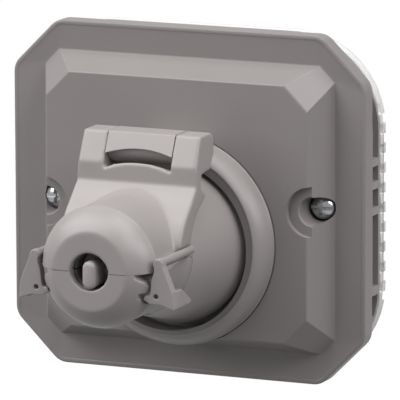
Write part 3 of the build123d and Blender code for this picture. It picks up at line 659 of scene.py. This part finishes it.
class SOCKET_OT_lower_shell(bpy.types.Operator):
    """Lower half of the nose, which drops on its own hinge"""
    bl_idname = "socket.lower_shell"
    bl_label = "Lower Shell"

    def execute(self, context):
        shell = cast("lower_shell", "lower_shell_skin")
        lengthen(shell, SEAM_Z - 0.1, SEAM_SPARE)
        melt(shell, context.scene.socket_sizes.shell_voxel, 3)
        roll_edge(shell)
        ease(shell, brow, 8)
        cut(shell, block("below_seam", (-16, 30, SEAM_Z - SEAM_GAP), (16, 63, SEAM_Z + 3)))
        for side in (-1, 1):
            start, end = sorted(side * x for x in HAIRLINE)
            cut(shell, block("line", (start, HAIRLINE_OUT, SEAM_Z - HAIRLINE_DEPTH), (end, 62, SEAM_Z + 1)))
        smooth(shell, 50)
        finish_piece(shell, "lower_shell", ["lower_shell"], palette()["cover_grey"])
        return {"FINISHED"}


class SOCKET_OT_clips(bpy.types.Operator):
    """The two swing clips at the sides of the nose"""
    bl_idname = "socket.clips"
    bl_label = "Swing Clips"

    def execute(self, context):
        for node in ("clip_left", "clip_right"):
            clip = melt(cast(node, node + "_skin"), context.scene.socket_sizes.clip_voxel, 2)
            finish_piece(clip, node, [node], palette()["clip_grey"])
        return {"FINISHED"}


class SOCKET_OT_plug(bpy.types.Operator):
    """Soft blanking plug with its finger grip, and the two halves of the gland round it"""
    bl_idname = "socket.plug"
    bl_label = "Plug and Gland"

    def execute(self, context):
        mats = palette()
        plug = turned("plug_body", PLUG, 0, NOSE_Z, 64)
        add(plug, stack("grip", [facing(grip_outline(inset), out) for inset, out in GRIP_RINGS]))
        smooth(plug, 35)
        finish_piece(plug, "plug", ["blanking_plug"], mats["plug_grey"])
        for node, body in (("gland_upper", "cover"), ("gland_lower", "lower_shell")):
            gland = soften(cast(node, node + "_skin"), context.scene.socket_sizes.gland_edge, 40, 3)
            finish_piece(gland, body, [node], mats["seal_dark"])
        return {"FINISHED"}


class SOCKET_OT_seals(bpy.types.Operator):
    """Pale wall seal with its teeth, and the seal that the cover closes on"""
    bl_idname = "socket.seals"
    bl_label = "Seals"

    def execute(self, context):
        mats = palette()
        outer, inner = (rounded_box(*size) for size in WALL_SEAL)
        loops = [(outer, 0), (outer, WALL_SEAL_OUT), (inner, WALL_SEAL_OUT), (inner, 0)]
        seal = stack("wall_seal_skin", [facing(points, out) for points, out in loops], close=True)
        notches = []
        for row, shift in NOTCH_ROWS:
            for i in range(NOTCHES):
                z = (i - (NOTCHES - 1) / 2) * NOTCH_PITCH + shift
                for x in (-NOTCH_X, NOTCH_X):
                    notches.append(block("notch", (x - 1, row - 0.01, z - NOTCH_HALF),
                                         (x + 1, row + NOTCH_RISE, z + NOTCH_HALF)))
        pick(*notches)
        bpy.ops.object.join()
        cut(seal, notches[0])
        soften(seal, context.scene.socket_sizes.seal_edge, 40, 2)
        finish_piece(seal, "base", ["wall_seal"], mats["seal_clear"])
        lip = smooth(turned("cover_seal_skin", COVER_SEAL, 0, RING_Z, 128, close=True), 40)
        finish_piece(lip, "base", ["cover_seal"], mats["seal_dark"])
        return {"FINISHED"}


class SOCKET_OT_screws(bpy.types.Operator):
    """Fixing screws with a slot and a cross recess in a domed head"""
    bl_idname = "socket.screws"
    bl_label = "Fixing Screws"

    def execute(self, context):
        stations = [(0.9, -12.0)]
        for i in range(THREADS):
            stations += [(r, out + i * THREAD_PITCH) for r, out in (THREAD_ROOT, THREAD_CREST)]
        stations += SCREW_HEAD
        for side, (x, z) in zip(("left", "right"), SCREWS):
            screw = turned("screw_" + side, stations, x, z, 64)
            cut(screw, block("slot", (x - 3, SLOT_FLOOR, z - SLOT_HALF), (x + 3, 12, z + SLOT_HALF)))
            cut(screw, block("cross", (x - SLOT_HALF, CROSS_FLOOR, z - CROSS_HALF),
                             (x + SLOT_HALF, 12, z + CROSS_HALF)))
            soften(screw, context.scene.socket_sizes.screw_edge, 45, 2)
            finish_piece(screw, "base", ["fixing_screws"], palette()["screw_steel"])
        return {"FINISHED"}


class SOCKET_OT_stage(bpy.types.Operator):
    """Lays the floor, the studio light and the camera"""
    bl_idname = "socket.stage"
    bl_label = "Stage"

    def show(self, tree, lit, white, share, output):
        """Lets camera and transmission rays see a share of the white, glossy rays half of it, and the rest lit."""
        path = shader_node(tree, "LightPath").outputs
        either = shader_node(tree, "Math", "MAXIMUM")
        gloss = shader_node(tree, "Math", "MULTIPLY_ADD", {1: 0.5})
        scaled = shader_node(tree, "Math", "MULTIPLY", {1: share})
        mix = shader_node(tree, "MixShader")
        for source, target in ((path["Is Camera Ray"], either.inputs[0]),
                               (path["Is Transmission Ray"], either.inputs[1]),
                               (path["Is Glossy Ray"], gloss.inputs[0]), (either.outputs[0], gloss.inputs[2]),
                               (gloss.outputs[0], scaled.inputs[0]), (scaled.outputs[0], mix.inputs[0]),
                               (lit.outputs[0], mix.inputs[1]), (white.outputs[0], mix.inputs[2]),
                               (mix.outputs[0], output.inputs["Surface"])):
            tree.links.new(source, target)

    def lay_floor(self, drop):
        bpy.ops.object.select_all(action="DESELECT")
        bpy.ops.mesh.primitive_plane_add(size=6, location=(0, 0, cad_low.z - drop))
        floor = bpy.context.object
        floor.name = "floor"
        m = bpy.data.materials.new("Pale Floor")
        m.use_nodes = True
        tree = m.node_tree
        shader = tree.nodes["Principled BSDF"]
        for key, value in (("Base Color", (0.2, 0.2, 0.2, 1)), ("Roughness", 0.9), ("Specular IOR Level", 0.1)):
            shader.inputs[key].default_value = value
        glow = shader_node(tree, "Emission", values={"Strength": 1.1})
        self.show(tree, shader, glow, 0.9, tree.nodes["Material Output"])
        floor.data.materials.append(m)

    def hang_lamps(self, scene):
        world = bpy.data.worlds.new("Studio")
        scene.world = world
        world.use_nodes = True
        tree = world.node_tree
        back = tree.nodes["Background"]
        back.inputs["Strength"].default_value = 0.02
        white = shader_node(tree, "Background", values={"Color": (1, 1, 1, 1)})
        self.show(tree, back, white, 1.0, tree.nodes["World Output"])
        for name, (across, lift, size, power) in LAMPS.items():
            a, e = math.radians(across), math.radians(lift)
            way = Vector((math.sin(a) * math.cos(e), -math.cos(a) * math.cos(e), math.sin(e)))
            bpy.ops.object.light_add(type="AREA", location=Vector(LAMP_AIM) + way * LAMP_DISTANCE)
            lamp = bpy.context.object
            lamp.name = name
            lamp.data.shape = "SQUARE"
            lamp.data.size = size
            lamp.data.energy = power
            lamp.rotation_mode = "QUATERNION"
            lamp.rotation_quaternion = way.to_track_quat("Z", "Y")

    def set_camera(self, scene):
        data = bpy.data.cameras.new("camera")
        data.sensor_width = 36
        data.lens = CAMERA_LENS
        data.shift_x, data.shift_y = CAMERA_SHIFT
        data.clip_start, data.clip_end = 0.1, 20
        cam = bpy.data.objects.new("camera", data)
        scene.collection.objects.link(cam)
        turn = Matrix((CAMERA_RIGHT, CAMERA_UP, CAMERA_BACK)).transposed()
        cam.matrix_world = Matrix.Translation(CAMERA_PLACE) @ turn.to_4x4()
        scene.camera = cam
        scene.view_settings.view_transform = "Standard"

    def execute(self, context):
        self.lay_floor(context.scene.socket_sizes.floor_drop)
        self.hang_lamps(context.scene)
        self.set_camera(context.scene)
        return {"FINISHED"}


class SOCKET_PT_panel(bpy.types.Panel):
    bl_label = "Network Socket"
    bl_idname = "SOCKET_PT_panel"
    bl_space_type = "VIEW_3D"
    bl_region_type = "UI"
    bl_category = "Socket"

    def draw(self, context):
        for group in (context.scene.socket_sizes, context.scene.socket_colours):
            for key in group.__annotations__:
                self.layout.prop(group, key)
        for op in STEPS:
            self.layout.operator(op.bl_idname)


STEPS = (SOCKET_OT_finishes, SOCKET_OT_plate, SOCKET_OT_collar, SOCKET_OT_cover, SOCKET_OT_lower_shell,
         SOCKET_OT_clips, SOCKET_OT_plug, SOCKET_OT_seals, SOCKET_OT_screws, SOCKET_OT_stage)
CLASSES = (SocketSizes, SocketColours) + STEPS + (SOCKET_PT_panel,)


def register():
    for c in CLASSES:
        bpy.utils.register_class(c)
    bpy.types.Scene.socket_sizes = bpy.props.PointerProperty(type=SocketSizes)
    bpy.types.Scene.socket_colours = bpy.props.PointerProperty(type=SocketColours)


def unregister():
    del bpy.types.Scene.socket_colours
    del bpy.types.Scene.socket_sizes
    for c in reversed(CLASSES):
        bpy.utils.unregister_class(c)


def main():
    register()
    bpy.ops.socket.finishes()
    bpy.ops.socket.plate()
    bpy.ops.socket.collar()
    bpy.ops.socket.cover()
    bpy.ops.socket.lower_shell()
    bpy.ops.socket.clips()
    bpy.ops.socket.plug()
    bpy.ops.socket.seals()
    bpy.ops.socket.screws()
    bpy.ops.socket.stage()


if __name__ == "__main__":
    main()
